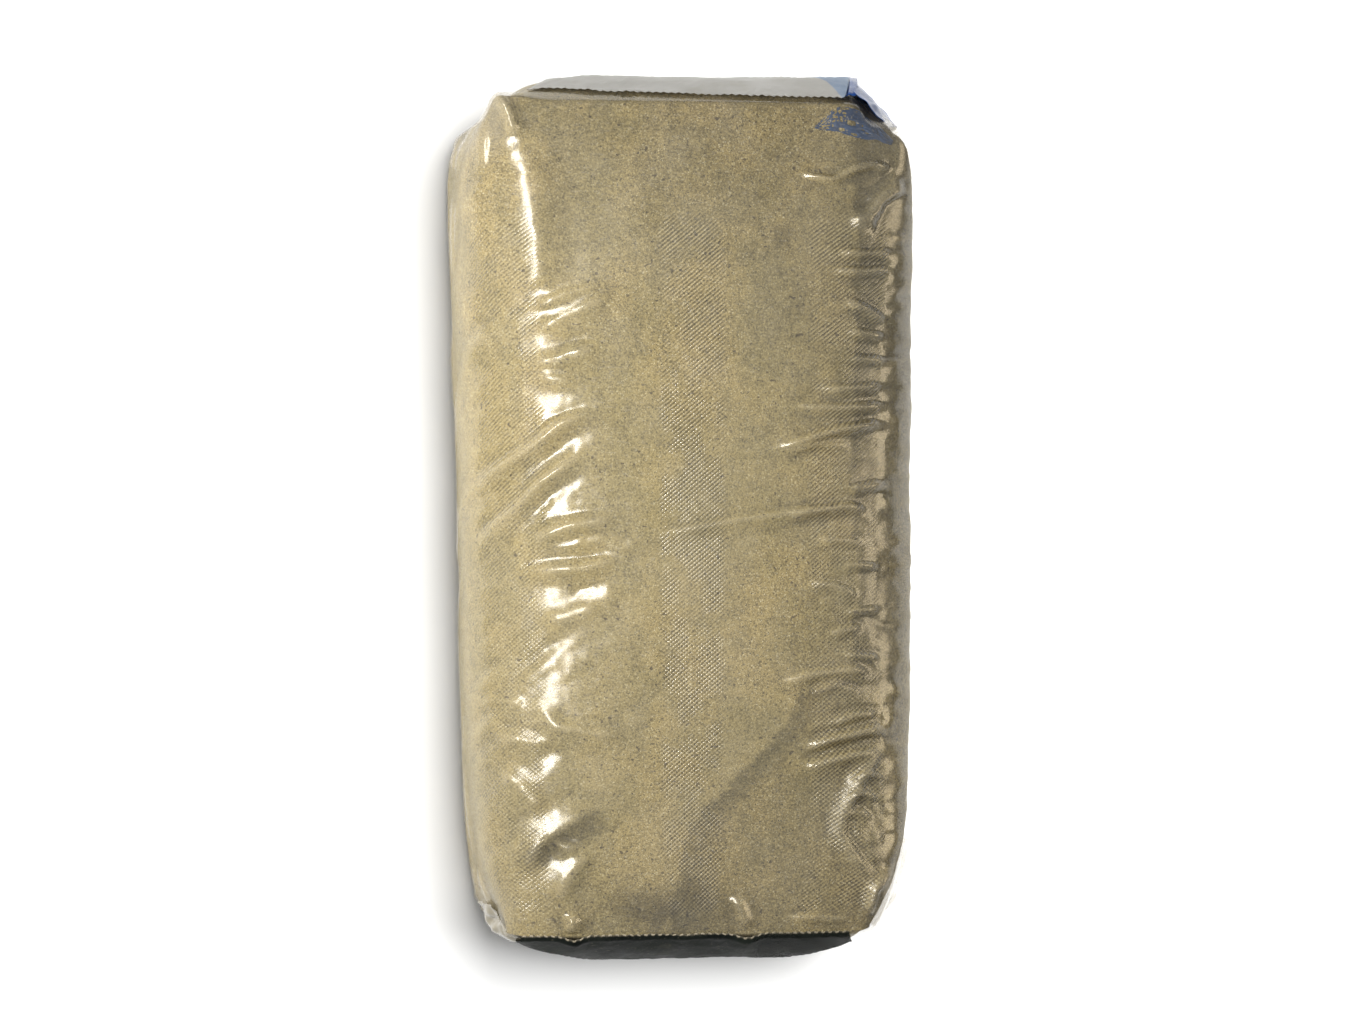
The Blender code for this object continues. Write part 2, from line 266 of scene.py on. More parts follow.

# %% [markdown]
# ## Creases that the photograph shows
#
# The solver finds its own small wrinkles. The long creases of this one sack are laid in first, each
# as a line of a few points with a width and a height, and the solver then settles the film round them.
# A crease is a hill across its line that fades towards its two ends. On the left they are broad and
# slant up from the side. On the right shoulder they are short, narrow and level.

# %% Creases laid in on the upper face
UPPER_CREASES = (
    # half-width, height, then the points (x, y) that the crease runs through
    (0.0030, 0.0042, (-0.1050, 0.2440), (-0.0985, 0.2320), (-0.0930, 0.2150)),
    (0.0130, 0.0026, (-0.0960, 0.2300), (-0.0840, 0.1850), (-0.0780, 0.1150)),
    (0.0026, 0.0018, (-0.1125, 0.2280), (-0.1125, 0.1930)),
    (0.0040, 0.0018, (-0.0886, 0.1176), (-0.0650, 0.1270), (-0.0410, 0.1340)),
    (0.0050, 0.0024, (-0.0900, 0.1030), (-0.0557, 0.1190), (-0.0360, 0.1280)),
    (0.0060, 0.0026, (-0.0920, 0.0850), (-0.0700, 0.0910), (-0.0440, 0.0990)),
    (0.0040, 0.0015, (-0.0830, 0.0800), (-0.0610, 0.0780)),
    (0.0030, 0.0012, (-0.1000, 0.1080), (-0.1180, 0.0950), (-0.1280, 0.0780)),
    (0.0036, 0.0038, (-0.1260, 0.0110), (-0.1060, 0.0260), (-0.0830, 0.0420), (-0.0700, 0.0530), (-0.0440, 0.0640)),
    (0.0034, 0.0034, (-0.1240, -0.0230), (-0.1136, -0.0120), (-0.0937, 0.0060), (-0.0810, 0.0200), (-0.0520, 0.0400)),
    (0.0048, 0.0028, (-0.0960, -0.0130), (-0.0770, -0.0085), (-0.0630, -0.0040), (-0.0320, 0.0010)),
    (0.0028, 0.0013, (-0.0790, -0.0190), (-0.0450, -0.0120), (-0.0340, -0.0176), (-0.0150, -0.0095)),
    (0.0030, 0.0030, (-0.0300, -0.0120), (0.0204, -0.0030), (0.0570, 0.0023), (0.0900, 0.0080)),
    (0.0040, 0.0026, (-0.0960, -0.0310), (-0.0700, -0.0284), (-0.0557, -0.0284), (-0.0430, -0.0250), (-0.0290, -0.0270)),
    (0.0070, 0.0022, (-0.0840, -0.0580), (-0.0620, -0.0550), (-0.0440, -0.0490)),
    (0.0060, 0.0014, (-0.0400, -0.0340), (-0.0430, -0.0580)),
    (0.0034, 0.0013, (-0.0160, -0.0690), (-0.0140, -0.0960)),
    (0.0040, 0.0015, (-0.1180, -0.1060), (-0.0980, -0.1030), (-0.0860, -0.1080)),
    (0.0052, 0.0026, (-0.0850, -0.1020), (-0.0720, -0.1176), (-0.0557, -0.1215), (-0.0290, -0.1250)),
    (0.0045, 0.0020, (-0.1120, -0.1200), (-0.0937, -0.1250), (-0.0740, -0.1290)),
    (0.0060, 0.0022, (-0.1080, -0.1400), (-0.0930, -0.1500), (-0.0760, -0.1680)),
    (0.0050, 0.0022, (-0.0410, -0.1640), (-0.0620, -0.1720), (-0.0820, -0.1860), (-0.0920, -0.2030)),
    (0.0030, 0.0018, (-0.0740, -0.1830), (-0.0590, -0.1890)),
    (0.0055, 0.0022, (-0.0480, -0.1860), (-0.0630, -0.2030), (-0.0720, -0.2210)),
    (0.0034, 0.0034, (-0.0640, -0.2370), (-0.0620, -0.2250)),
    (0.0034, 0.0030, (0.0400, -0.2370), (0.0350, -0.2250), (0.0290, -0.2150)),
    (0.0022, 0.0042, (0.0650, 0.2010), (0.0740, 0.1955), (0.0875, 0.1933), (0.0983, 0.1991), (0.1110, 0.2024), (0.1264, 0.1982)),
    (0.0030, 0.0028, (0.1230, 0.1990), (0.1250, 0.1880), (0.1147, 0.1810), (0.1100, 0.1680)),
    (0.0065, 0.0022, (0.0980, 0.1700), (0.1130, 0.1720)),
    (0.0021, 0.0022, (0.0900, 0.1530), (0.1080, 0.1515), (0.1230, 0.1530)),
    (0.0021, 0.0024, (0.0850, 0.1425), (0.1040, 0.1415), (0.1230, 0.1430)),
    (0.0024, 0.0020, (0.0920, 0.1270), (0.1100, 0.1180), (0.1180, 0.1110)),
    (0.0021, 0.0018, (0.0940, 0.1080), (0.1180, 0.1040)),
    (0.0021, 0.0020, (0.0960, 0.0920), (0.1190, 0.0900)),
    (0.0021, 0.0022, (0.0780, 0.0735), (0.0980, 0.0745), (0.1180, 0.0765)),
    (0.0022, 0.0018, (0.0560, 0.0635), (0.0900, 0.0635), (0.1230, 0.0645)),
    (0.0024, 0.0036, (0.0480, 0.0360), (0.0712, 0.0449), (0.0929, 0.0512), (0.1110, 0.0539), (0.1200, 0.0528)),
    (0.0020, 0.0016, (0.0560, 0.0340), (0.0750, 0.0410), (0.1000, 0.0430)),
    (0.0021, 0.0022, (0.0960, 0.0165), (0.1180, 0.0205)),
    (0.0024, 0.0032, (0.0580, 0.0010), (0.0840, 0.0055), (0.0980, 0.0070), (0.1100, 0.0030)),
    (0.0021, 0.0016, (0.0760, -0.0105), (0.1060, -0.0145)),
    (0.0022, 0.0018, (0.0900, -0.0260), (0.1150, -0.0280)),
    (0.0023, 0.0020, (0.0720, -0.0360), (0.0880, -0.0385), (0.1040, -0.0450)),
    (0.0021, 0.0018, (0.0930, -0.0540), (0.1160, -0.0520)),
    (0.0023, 0.0020, (0.0840, -0.0665), (0.1050, -0.0620)),
    (0.0022, 0.0018, (0.0930, -0.0780), (0.1150, -0.0800)),
    (0.0030, 0.0024, (0.0520, -0.0970), (0.0750, -0.0895), (0.1020, -0.0865), (0.1120, -0.0920)),
    (0.0024, 0.0018, (0.0700, -0.1020), (0.0900, -0.0955), (0.1060, -0.1010)),
    (0.0026, 0.0020, (0.0840, -0.1185), (0.1000, -0.1130), (0.1160, -0.1120)),
    (0.0030, 0.0032, (0.0700, -0.1320), (0.0890, -0.1255), (0.1110, -0.1210), (0.1210, -0.1225)),
    (0.0024, -0.0030, (0.0690, -0.1370), (0.0890, -0.1305), (0.1110, -0.1260), (0.1190, -0.1270)),
    (0.0042, 0.0024, (0.0640, -0.1470), (0.0880, -0.1380), (0.1140, -0.1330)),
    (0.0020, 0.0020, (0.0960, -0.1500), (0.1080, -0.1460), (0.1170, -0.1490)),
    (0.0020, 0.0020, (0.0960, -0.1610), (0.1060, -0.1570), (0.1140, -0.1620)),
    (0.0020, 0.0018, (0.0940, -0.1720), (0.1040, -0.1680), (0.1120, -0.1740)),
    (0.0032, 0.0030, (0.1180, -0.1280), (0.1020, -0.1560), (0.0950, -0.1700), (0.0930, -0.1810), (0.1020, -0.1950), (0.1120, -0.2080)),
    (0.0022, 0.0034, (0.1230, -0.1980), (0.1120, -0.2140), (0.1080, -0.2300)),
    (0.0020, 0.0018, (0.0560, -0.2290), (0.0820, -0.2285), (0.1010, -0.2310)),
)

# %% Creases laid in on the two sides
SIDE_CREASES = (
    # half-width, height, then the points (y, z). Both sides carry them, the right one shifted along.
    (0.0040, 0.0030, (0.2340, 0.1200), (0.2200, 0.0920), (0.1980, 0.0740)),
    (0.0040, 0.0028, (0.2340, 0.0180), (0.2200, 0.0440), (0.1980, 0.0660)),
    (0.0050, 0.0022, (0.2000, 0.0700), (0.1700, 0.0690), (0.1350, 0.0740)),
    (0.0030, 0.0018, (0.1900, 0.0980), (0.1680, 0.0880), (0.1500, 0.0850)),
    (0.0036, 0.0020, (0.1200, 0.0260), (0.0900, 0.0300), (0.0560, 0.0250)),
    (0.0034, 0.0022, (0.0180, 0.1020), (-0.0120, 0.0700), (-0.0300, 0.0420)),
    (0.0034, 0.0018, (-0.0180, 0.1020), (-0.0420, 0.0760), (-0.0560, 0.0560)),
    (0.0032, 0.0018, (0.0860, 0.1040), (0.0600, 0.0800), (0.0400, 0.0700)),
    (0.0036, 0.0020, (-0.0300, 0.0240), (-0.0700, 0.0280), (-0.1050, 0.0220)),
    (0.0030, 0.0018, (-0.1080, 0.0980), (-0.1280, 0.0800), (-0.1400, 0.0640)),
    (0.0050, 0.0022, (-0.1400, 0.0620), (-0.1720, 0.0680), (-0.2020, 0.0690)),
    (0.0040, 0.0028, (-0.2340, 0.1180), (-0.2220, 0.0920), (-0.2020, 0.0730)),
    (0.0040, 0.0028, (-0.2340, 0.0200), (-0.2220, 0.0440), (-0.2020, 0.0650)),
)


def crease_height(a, b, half_width, height, *route):
    """Height of one crease over the points (a, b) of a plane.

    The ridge is sharp, and steeper to the left of the route than to its right. Across it the height goes
    as exp(-1.5 (sqrt(t^2 + 0.09) - 0.3)), t being the distance over that side's reach, and a shallow
    trough runs beside it. Along it the height grows over the first third and fades over the last quarter.
    """
    corners = np.array(route)
    lengths = np.linalg.norm(np.diff(corners, axis=0), axis=-1)
    passed = np.concatenate([[0.0], np.cumsum(lengths)]) / lengths.sum()
    nearest, place, reach = np.full(a.shape, np.inf), np.zeros(a.shape), np.ones(a.shape)
    for number, length in enumerate(lengths):
        (a0, b0), (a1, b1) = corners[number], corners[number + 1]
        share = np.clip(((a - a0) * (a1 - a0) + (b - b0) * (b1 - b0)) / length**2, 0.0, 1.0)
        distance = np.hypot(a - a0 - share * (a1 - a0), b - b0 - share * (b1 - b0))
        rightward = ((a - a0) * (b1 - b0) - (b - b0) * (a1 - a0)) / length
        closer = distance < nearest
        nearest = np.where(closer, distance, nearest)
        reach = np.where(closer, 1.0 + 0.35 * np.tanh(rightward / (0.5 * half_width)), reach)
        place = np.where(closer, passed[number] + share * (passed[number + 1] - passed[number]), place)
    t = nearest / (half_width * reach)
    ridge = np.exp(-1.5 * (np.sqrt(t**2 + 0.09) - 0.3)) - 0.22 * bump(t, 2.2, 0.8)
    return height * ridge * smoothstep(place * 3.0) * smoothstep((1.0 - place) * 4.0)


upper_face = smoothstep((normals[..., 2] - 0.05) / 0.3)
left_face, right_face = (smoothstep((side * normals[..., 0] - 0.4) / 0.4) for side in (-1, 1))
folds, creases = np.zeros(rest.shape[:2]), np.zeros(rest.shape[:2])
for crease in UPPER_CREASES:
    height = upper_face * crease_height(x_seen, y_seen, *crease)
    creases += height
    folds += height * smoothstep((crease[0] - 0.0020) / 0.0030)
for crease in SIDE_CREASES:
    creases += 0.75 * left_face * crease_height(y_rest, z_rest, *crease)
    creases += 0.45 * right_face * crease_height(y_rest + 0.006 + 0.03 * z_rest, z_rest - 0.004, *crease)
creased = rest + normals * creases[..., None]
print(len(UPPER_CREASES), "creases above,", len(SIDE_CREASES), "on each side, up to", creases.max().round(5), "m")

# %% [markdown]
# ## Letting the film settle
#
# The film is relaxed as position-based cloth. Each round moves the points a little towards three
# things: the lengths of their steps, a stiffness against sharp bends, and the sand, which they may
# press into by no more than a millimetre. The steps of one direction are split into even and odd
# ones, so that no point is moved twice at once and a whole set is one array operation. Two sets of
# diagonal steps keep the film from shearing.

# %% The film solver


def smooth_noise(shape, cells, seed, tilt=0.0):
    """Random numbers on a coarse grid of cells, blended smoothly to a grid of the given shape.

    The pattern joins itself at the edges. tilt is how many cells it climbs over the whole width.
    """
    values = np.random.default_rng(seed).normal(size=cells)
    column = np.linspace(0.0, cells[1], shape[1], endpoint=False)[None, :]
    row = np.linspace(0.0, cells[0], shape[0], endpoint=False)[:, None] + tilt * column / cells[1]
    i, j = np.floor(row).astype(int), column.astype(int)
    a, b = smoothstep(row - i), smoothstep(column - j)
    upper, lower = (
        values[(i + k) % cells[0], j % cells[1]] * (1 - b) + values[(i + k) % cells[0], (j + 1) % cells[1]] * b
        for k in (0, 1)
    )
    return upper * (1 - a) + lower * a


def blurred(field, reach):
    """The mean over as many cells as reach on each side."""
    padded = np.pad(field, reach, mode="edge")
    rows, columns = field.shape
    shifts = [(i, j) for i in range(2 * reach + 1) for j in range(2 * reach + 1)]
    return sum(padded[i : i + rows, j : j + columns] for i, j in shifts) / len(shifts)


def pull_pair(first, second, length, firmness, free_first, free_second):
    """Moves two arrays of points towards their distance, in place, each by its own freedom."""
    gap = second - first
    distance = np.sqrt((gap * gap).sum(axis=0)) + 1e-9
    push = gap * (firmness * (1.0 - length / distance) / (free_first + free_second + 1e-6))
    first += push * free_first
    second -= push * free_second


def pull_steps(points, free, length, step, firmness):
    """One pass over every step (rows, columns) of the grid, in two sets that share no point."""
    rows, columns = step
    for start in (0, 1):
        if columns == 0:
            first = np.s_[start:-rows:2, :]
            second = np.s_[start + rows :: 2, :]
            used = length[start::2]
        elif rows == 0:
            first = np.s_[:, start:-columns:2]
            second = np.s_[:, start + columns :: 2]
            used = length[:, start::2]
        elif columns > 0:
            first = np.s_[start:-1:2, :-1]
            second = np.s_[start + 1 :: 2, 1:]
            used = length[start::2]
        else:
            first = np.s_[start:-1:2, 1:]
            second = np.s_[start + 1 :: 2, :-1]
            used = length[start::2]
        pull_pair(
            points[(slice(None),) + first],
            points[(slice(None),) + second],
            used,
            firmness,
            free[first],
            free[second],
        )


def stiffen(points, down, across):
    """Moves each point a little towards the middle of its neighbours, which resists sharp bends."""
    middle = (points[:, 2:] + points[:, :-2]) / 2.0 - points[:, 1:-1]
    points[:, 1:-1] += middle * down[1:-1]
    middle = (points[:, :, 2:] + points[:, :, :-2]) / 2.0 - points[:, :, 1:-1]
    points[:, :, 1:-1] += middle * across[:, 1:-1]


def film_lengths(points, along, around):
    """The lengths that the film's steps settle to, by the (rows, columns) of the step.

    A step down or across is its length between the given points, times 1 + slack. A diagonal's
    square grows by what the squares of the steps that it crosses grow by.
    """
    lengths = {}
    down, across = step_lengths(points, 1, 0), step_lengths(points, 0, 1)
    slack_down = (along[1:] + along[:-1]) / 2.0
    slack_across = (around[:, 1:] + around[:, :-1]) / 2.0
    lengths[1, 0] = down * (1.0 + slack_down)
    lengths[0, 1] = across * (1.0 + slack_across)
    growth = 2.0 * slack_down * down**2
    growth = (growth[:, 1:] + growth[:, :-1]) / 2.0
    for columns in (1, -1):
        lengths[1, columns] = np.sqrt(step_lengths(points, 1, columns) ** 2 + growth)
    return lengths


def settle_film(start, base, normal, free, lengths, rounds, press, rise, bend):
    """Relaxes the film's points over the sand and returns them.

    press is how far the film may sink into the sand and rise how far it may stand off it, both in
    metres. bend is its stiffness, and counts for more down the close rows than across the columns.
    """
    points, base, normal = (
        np.ascontiguousarray(np.moveaxis(field, -1, 0)).astype(np.float32) for field in (start, base, normal)
    )
    free = free.astype(np.float32)
    lengths = {step: length.astype(np.float32) for step, length in lengths.items()}
    down, across = (2.3 * bend * free).astype(np.float32), (0.6 * bend * free).astype(np.float32)
    before = points.copy()
    for _ in range(rounds):
        motion = (points - before) * 0.90
        before = points.copy()
        points += motion * free
        for step, length in lengths.items():
            pull_steps(points, free, length, step, 0.25 if all(step) else 0.9)
        stiffen(points, down, across)
        height = ((points - base) * normal).sum(axis=0)
        points += normal * ((np.clip(height, -press, rise) - height) * 0.8)
    return np.moveaxis(points, 0, -1).astype(float)


# %% Settling
under = normals[..., 2] < -0.75
welded = (np.abs(y_rest) > RIM_Y) & (np.abs(x_rest) < 0.098) & (np.abs(z_rest - END_HEIGHT / 2) < 0.064)
freedom = np.where(under | welded, 0.0, 1.0)
freedom[:, [0, -1]] = 0.0
freedom[[0, -1]] = 0.0
size = rest.shape[:2]
lumps = 0.0005 * smooth_noise(size, (26, 14), 3) + 0.0003 * smooth_noise(size, (70, 36), 4)
lumps *= freedom * (0.5 + 0.5 * (1.0 - right_side))
support = rest + normals * (0.7 * folds + lumps)[..., None]
tremble = 0.0005 * smooth_noise(size, (110, 18), 5) * shoulder * right_side
tremble += 0.0003 * smooth_noise(size, (40, 14), 8) * (0.25 + shoulder)
began = time.time()
film = settle_film(
    start=rest + normals * ((creases + lumps + tremble) * freedom)[..., None],
    base=support,
    normal=normals,
    free=freedom,
    lengths=film_lengths(creased, slack_along, slack_around),
    rounds=700,
    press=0.0010,
    rise=0.0042,
    bend=0.020 - 0.012 * right_side * smoothstep(shoulder / 0.3),
)
slanting = 0.00048 * smooth_noise(size, (58, 12), 9, tilt=34.0) + 0.00012 * smooth_noise(size, (120, 16), 10, tilt=50.0)
level = 0.00045 * smooth_noise(size, (84, 20), 11, tilt=6.0) + 0.00022 * smooth_noise(size, (150, 30), 12)
wrinkles = (slanting * (1.0 - right_side) + level * right_side) * (0.14 + shoulder) * away_from_ends
lift = blurred(((film - rest) * normals).sum(axis=-1), 1) + (0.65 * creases + wrinkles) * freedom
film = rest + normals * lift[..., None]
film[..., 2] = np.maximum(film[..., 2], 0.0)
print("settled in", round(time.time() - began, 1), "s; film stands off by", lift.min().round(5), lift.max().round(5))

# %% [markdown]
# ## Fields over the sack
#
# The materials need to know some things about a place on the sack: how far the film stands off its
# surroundings, how cloudy, dusty and embossed it is, where the sand drifts or is damp, and where it is
# darkened as painted shade. Each is a number at every grid point, mostly from 0 to 1, and goes onto the
# meshes as an attribute. That costs a render far less than noise in a material does. Fractal noise is a
# sum of octaves, each with twice the cells and 0.6 of the strength of the one before.

# %% Fields


def fractal(cells, octaves, seed):
    """Fractal noise over the grid: about 0.5 in the mean, and within 0 and 1."""
    layers = [0.6**k * smooth_noise(size, (cells[0] * 2**k, cells[1] * 2**k), seed + k) for k in range(octaves)]
    total = sum(layers)
    return np.clip(0.5 + 0.22 * total / total.std(), 0.0, 1.0)


def damp_and_painted_shade():
    """How much the sand is darkened, by dampness and by painted shade.

    By dampness most just inside a slanting edge near the foot, which wanders a little. Painted shade in the
    middle above the foot, where the sand turns away from the light, and towards the valve, on the side
    away from the light. Some in a smear to the left of that middle, and some in one small stain.
    """
    wander = 0.006 * (fractal((24, 34), 3, 99) - 0.5)
    ys, xs = np.array(DAMP_EDGE).T
    inside = 0.75 * (x_seen - np.interp(y_seen, ys, xs)) + wander
    edge = smoothstep((inside + 0.001) / 0.0028) * (0.20 + 0.24 * smoothstep((0.020 - inside) / 0.015))
    # Painted shade: the sand above the foot is darkened where it turns away from the light.
    foot = smoothstep((-0.200 - y_seen) / 0.026) * bump(x_seen, -0.010, 0.044) * (0.22 + 0.50 * fields["patches"])
    beside = np.abs(y_seen * 0.867 - x_seen * 0.498 + 0.1252)
    along = x_seen * 0.867 + y_seen * 0.498
    smear = 0.42 * smoothstep((0.011 - beside) / 0.007) * smoothstep((0.032 - np.abs(along + 0.149)) / 0.014)
    stain = 0.34 * smoothstep((0.009 - np.hypot(x_seen - 0.059, y_seen - 0.161)) / 0.006)
    # Painted shade: the sand darkens towards the valve corner, the side away from the light.
    valve = 0.27 * smoothstep((x_seen * 0.6 + y_seen * 0.8 - 0.02) / 0.16)
    upward = smoothstep(normals[..., 2] / 0.3)
    return (1.0 - (1.0 - edge) * (1.0 - foot) * (1.0 - smear) * (1.0 - stain) * (1.0 - valve)) * upward


def band_share():
    """How strongly the film is embossed: in three bands along it, worn in places."""
    u, v = film_u[None, :], film_v[:, None]
    bands = sum(
        share * smoothstep((u - left) / 0.003) * smoothstep((right - u) / 0.003) for left, right, share in BANDS
    )
    ends = smoothstep((v + 0.232) / 0.014) * smoothstep((0.182 - v) / 0.022)
    return bands * ends * (0.35 + 0.65 * smoothstep((fractal((34, 46), 3, 86) - 0.26) / 0.34))


# left limit, right limit and strength of each band
BANDS = ((-0.129, -0.084, 0.60), (-0.021, 0.0185, 1.0), (0.0655, 0.110, 1.0))
# y and x of the edge of the damp sand
DAMP_EDGE = ((-0.240, -0.006), (-0.185, 0.002), (-0.166, 0.015), (-0.1465, 0.031), (-0.121, 0.0585), (-0.101, 0.069), (-0.092, 0.1))
corner = smoothstep((np.abs(x_rest) - 0.098) / 0.018) * smoothstep((np.abs(y_rest) - 0.200) / 0.028)
fields = {
    "standoff": np.clip((lift - blurred(lift, 4)) / 0.0010, -1.0, 1.0) * freedom,
    "cloudy": fractal((18, 26), 4, 81),
    "drift": smoothstep((fractal((4, 6), 3, 91) - 0.28) / 0.44),
    "patches": smoothstep((fractal((22, 30), 4, 95) - 0.22) / 0.56),
    "embossed": band_share(),
    "dusty": corner * (0.26 - 0.20 * smoothstep((x_rest + y_rest - 0.20) / 0.10)),
}
fields["damp_and_shade"] = damp_and_painted_shade()
print("fields:", {name: float(field.mean().round(2)) for name, field in fields.items()})

# %% [markdown]
# ## From grids to meshes
#
# The settled grid becomes one closed skin: its first and last columns are the same line under the
# sack, and the middle line of each end is stitched shut. The film's own coordinates, metres round the
# sack and metres along it, go into a UV map, so that what is embossed on the film follows it.

# %% Mesh helpers


def finish_mesh(name, points, faces, coordinates=None):
    """A smooth-shaded object from arrays of points and faces, with a UV map if each point has one."""
    mesh = bpy.data.meshes.new(name)
    mesh.from_pydata(np.asarray(points).tolist(), [], [list(face) for face in faces])
    if coordinates is not None:
        corners = np.empty(len(mesh.loops), dtype=np.int32)
        mesh.loops.foreach_get("vertex_index", corners)
        layer = mesh.uv_layers.new(name="film")
        layer.data.foreach_set("uv", np.asarray(coordinates)[corners].astype(np.float32).ravel())
    mesh.validate()
    mesh.shade_smooth()
    item = bpy.data.objects.new(name, mesh)
    bpy.context.scene.collection.objects.link(item)
    return item


def give_field(item, title, values):
    """Puts one number per point on a mesh."""
    known = item.data.attributes.new(title, "FLOAT", "POINT")
    known.data.foreach_set("value", np.asarray(values, dtype=np.float32).ravel())


def sack_skin(name, points):
    """A closed skin over the sack's grid, its faces turned outwards, which carries the fields."""
    rows, columns = points.shape[0], points.shape[1] - 1
    index = np.arange(rows * columns).reshape(rows, columns)
    turned = np.roll(index, -1, axis=1)
    bands = np.stack([index[:-1], index[1:], turned[1:], turned[:-1]], axis=-1).reshape(-1, 4).tolist()
    coordinates = np.stack(np.broadcast_arrays(film_u[None, :-1], film_v[:, None]), axis=-1)
    half = columns // 2
    for ring, forward in ((index[0], True), (index[-1], False)):
        for i in range(half):
            face = [ring[i], ring[i + 1], ring[-i - 2], ring[-i - 1]]
            face = list(dict.fromkeys(int(k) for k in face))
            if len(face) > 2:
                bands.append(face if forward else face[::-1])
    item = finish_mesh(name, points[:, :-1].reshape(-1, 3), bands, coordinates.reshape(-1, 2))
    for title, field in fields.items():
        give_field(item, title, field[:, :-1])
    return item


film_sack = sack_skin("film_sack_skin", film)
print("film skin:", len(film_sack.data.polygons), "faces")

# %% [markdown]
# ## The sand
#
# Sand fills the sack to the film, except where the film bridges a crease or an empty corner. Its
# surface is therefore the film's lower envelope: at each point the lowest film nearby, smoothed, and
# a little lower still. Four corners of the sack have never filled, and there the sand rounds off well
# inside the film, which stays clear and empty.

# %% Sand under the film
EMPTY_CORNERS = (
    # x, y, z, reach, depth
    (0.128, -0.205, 0.085, 0.022, 0.0022),
    (0.112, -0.236, 0.120, 0.018, 0.0030),
    (-0.112, -0.236, 0.115, 0.018, 0.0024),
    (0.118, 0.228, 0.118, 0.020, 0.0040),
    (-0.108, 0.240, 0.125, 0.012, 0.0024),
)


def spread_lowest(field, reach):
    """The lowest value within reach cells of each cell, then the mean over as many."""
    padded = np.pad(field, reach, mode="edge")
    rows, columns = field.shape
    shifts = [(i, j) for i in range(2 * reach + 1) for j in range(2 * reach + 1)]
    return blurred(np.minimum.reduce([padded[i : i + rows, j : j + columns] for i, j in shifts]), reach)


hollow = np.zeros(rest.shape[:2])
for x0, y0, z0, reach, depth in EMPTY_CORNERS:
    distance = np.sqrt((x_rest - x0) ** 2 + (y_rest - y0) ** 2 + (z_rest - z0) ** 2)
    hollow = np.maximum(hollow, depth * np.exp(-((distance / reach) ** 2)))
sand_lift = 0.70 * lift + 0.30 * spread_lowest(lift, 2) - 0.0006 - hollow
sand = rest + normals * sand_lift[..., None]
print("sand lies", (lift - sand_lift).min().round(5), "to", (lift - sand_lift).max().round(4), "m below the film")
sand_fill = sack_skin("sand_surface", sand)

# %% [markdown]
# ## Sheets over the ends
#
# Each end's folded flaps are closed by a sheet welded over them. The long edges of the sheet are
# pinked, cut in small teeth. The sheet is a grid whose first and last rows zigzag: the height of a
# row is a share of the way between the two toothed edges. The flaps under it show as low ridges: one
# slants in from each corner, and one runs along the middle. Over the sleeve the sheet stands off.

# %% Cover sheets
COVER_LOW, COVER_HIGH = (0.0075, 0.1345)
FOOT_HIGH, FOOT_LAP = (0.1388, 0.0030)
TOOTH_DEPTH = 0.0016
STEPS_PER_TOOTH = 6
MIDDLE_Z = END_HEIGHT / 2.0
SHEET_END, SHEET_SLANT = (0.098, -0.010)
SLEEVE_EDGE, SLEEVE_SLANT = (0.0858, 0.19)


def zigzag(value):
    """0 at whole numbers, 1 halfway between them, straight in between."""
    return 1.0 - np.abs(2.0 * (value % 1.0) - 1.0)


def flap_ridges(x, z):
    """Ridges of the flaps below: lines at 45 degrees from the corners, and the seam in the middle."""
    from_side = CORNER_X - np.abs(x)
    from_edge = MIDDLE_Z - np.abs(z - MIDDLE_Z)
    slanting = bump(from_side - from_edge, 0.0, 0.0022) * smoothstep((MIDDLE_Z - from_side) / 0.006)
    seam = bump(z, MIDDLE_Z + 0.006, 0.0018) * smoothstep((from_side - MIDDLE_Z) / 0.010 + 1.0)
    step = smoothstep((z - MIDDLE_Z - 0.006) / 0.0015) * smoothstep((from_side - from_edge) / 0.004)
    return 0.0008 * slanting + 0.0006 * seam + 0.0004 * step


def over_sleeve(x, z):
    """How far the valve end's sheet stands off over the flat sleeve, which keeps that corner square."""
    upward = np.clip(np.abs(z - MIDDLE_Z) / MIDDLE_Z, 0.0, 1.0)
    square = (END_BULGE + 0.0006) * (1.0 - upward**2) - end_bulge(x, z, 1)
    return (0.0004 + np.maximum(square, 0.0)) * smoothstep((x - 0.048) / 0.034)


def foot_puckers(x, z):
    """Two small folds in the upper edge of the foot's sheet."""
    peaks = 0.0030 * bump(x, -0.069, 0.0060) + 0.0028 * bump(x, 0.031, 0.0070)
    return peaks * smoothstep((z - 0.100) / 0.034)


def sheet_faces(rows, columns, turned):
    """The quads of a grid of points. turned swaps their side."""
    index = np.arange(rows * columns).reshape(rows, columns)
    quads = np.stack([index[:-1, :-1], index[:-1, 1:], index[1:, 1:], index[1:, :-1]], axis=-1).reshape(-1, 4)
    return quads[:, ::-1] if turned else quads


def give_wall(item, thickness, offset):
    wall = item.modifiers.new("wall", "SOLIDIFY")
    wall.thickness = thickness
    wall.offset = offset
    return item


